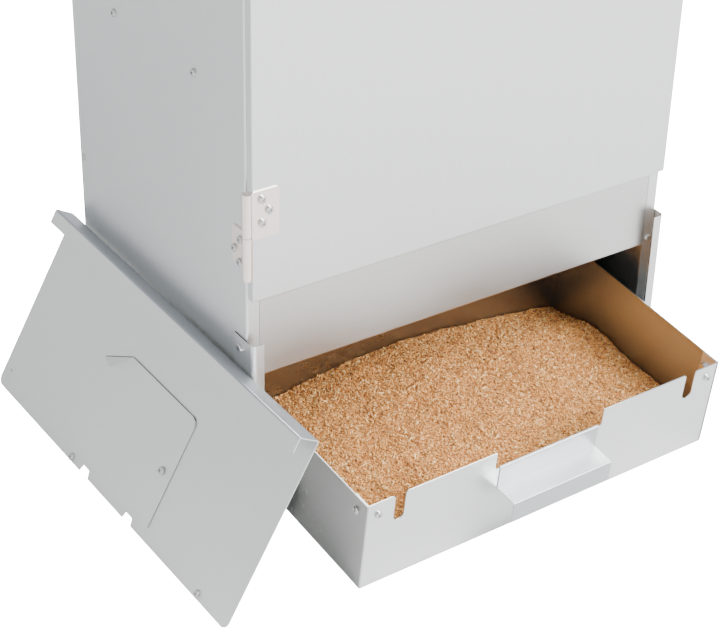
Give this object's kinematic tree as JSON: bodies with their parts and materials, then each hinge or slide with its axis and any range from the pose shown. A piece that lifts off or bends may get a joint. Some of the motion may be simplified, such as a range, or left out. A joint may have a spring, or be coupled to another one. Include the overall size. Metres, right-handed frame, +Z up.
{
  "type": "smoker cabinet",
  "caption": "Upright galvanised sheet-steel smoker cabinet with a full-height hinged door, pull-out wood-chip drawer, lift-off draught cover with air flap, wire racks and roof vent.",
  "frame": {"origin": "on the floor, in the middle of the cabinet's base plate", "axes": "+X to the right seen from the door, -Y out through the door, +Z up"},
  "size_m": [0.5358, 0.4654, 0.8454],
  "materials": {
    "galvanised_sheet": "satin galvanised, fine grain",
    "hinge_steel": "plated, faintly warm",
    "screw_steel": "bright zinc plate",
    "wire_steel": "bright wire",
    "dark_plastic": "moulded, fine texture",
    "dial_white": "matte printed face",
    "needle_red": "matte paint",
    "clear_glass": "polished",
    "wood_chips": "loose fine chips"
  },
  "bodies": {
    "cabinet": {"back_panel": "galvanised_sheet", "drawer_runners": "galvanised_sheet", "drip_tray": "galvanised_sheet", "drip_tray_rails": "galvanised_sheet", "floor_panel": "galvanised_sheet", "hanging_rods": "wire_steel", "hinge_cabinet_nuts": "screw_steel", "hinge_cabinet_screws": "screw_steel", "hinge_pins": "hinge_steel", "left_cover_channel": "galvanised_sheet", "left_side_panel": "galvanised_sheet", "lower_front_strip": "galvanised_sheet", "lower_hinge_cabinet_leaf": "hinge_steel", "lower_rack_rails": "galvanised_sheet", "lower_wire_rack": "wire_steel", "rail_nuts": "screw_steel", "right_cover_channel": "galvanised_sheet", "right_side_panel": "galvanised_sheet", "rod_rails": "galvanised_sheet", "roof_panel": "galvanised_sheet", "seam_rivets": "screw_steel", "side_screws": "screw_steel", "strip_screws": "screw_steel", "upper_front_strip": "galvanised_sheet", "upper_hinge_cabinet_leaf": "hinge_steel", "upper_rack_rails": "galvanised_sheet", "upper_wire_rack": "wire_steel", "vent_rivet": "screw_steel"},
    "door": {"door_panel": "galvanised_sheet", "lower_hinge_door_leaf": "hinge_steel", "upper_hinge_door_leaf": "hinge_steel", "hinge_door_screws": "screw_steel", "hinge_door_nuts": "screw_steel", "gauge_case": "wire_steel", "gauge_dial": "dial_white", "gauge_needle": "needle_red", "gauge_glass": "clear_glass", "gauge_probe": "wire_steel", "gauge_nut": "screw_steel", "latch_collar": "dark_plastic"},
    "latch": {"latch_handle": "dark_plastic", "latch_spindle": "wire_steel", "latch_spacer": "wire_steel", "latch_cam": "galvanised_sheet", "latch_cam_nut": "screw_steel"},
    "drawer": {"drawer_tray": "galvanised_sheet", "drawer_front": "galvanised_sheet", "drawer_handle": "galvanised_sheet", "drawer_screws": "screw_steel", "drawer_nuts": "screw_steel", "wood_chips": "wood_chips"},
    "cover": {"cover_panel": "galvanised_sheet", "cover_screws": "screw_steel", "flap_pivot_screw": "screw_steel", "cover_nuts": "screw_steel", "cover_rivet": "screw_steel"},
    "air_flap": {"air_flap": "galvanised_sheet"},
    "vent_damper": {"vent_disc": "galvanised_sheet"}
  },
  "joints": [
    {"name": "door_hinge", "type": "hinge", "parent": "cabinet", "child": "door", "pos_m": [-0.225, -0.1586, 0.521], "axis": [0, 0, -1], "range_deg": [0, 180]},
    {"name": "latch_turn", "type": "hinge", "parent": "door", "child": "latch", "pos_m": [0.192, -0.156, 0.521], "axis": [0, 1, 0], "range_deg": [0, 90]},
    {"name": "drawer_slide", "type": "slide", "parent": "cabinet", "child": "drawer", "axis": [-0.0245, 0.9938, 0.1089], "range_m": [0, 0.175]},
    {"name": "cover_lift_off", "type": "slide", "parent": "cabinet", "child": "cover", "axis": [-1, 0, 0], "range_m": [0, 0.25]},
    {"name": "air_flap_pivot", "type": "hinge", "parent": "cover", "child": "air_flap", "pos_m": [-0.28095, -0.108, 0.05537], "axis": [0.871, 0, -0.4912], "range_deg": [-1.4, 30]},
    {"name": "vent_turn", "type": "hinge", "parent": "cabinet", "child": "vent_damper", "pos_m": [0, 0, 0.8305], "axis": [0, 0, 1], "range_deg": [0, 45]}
  ]
}
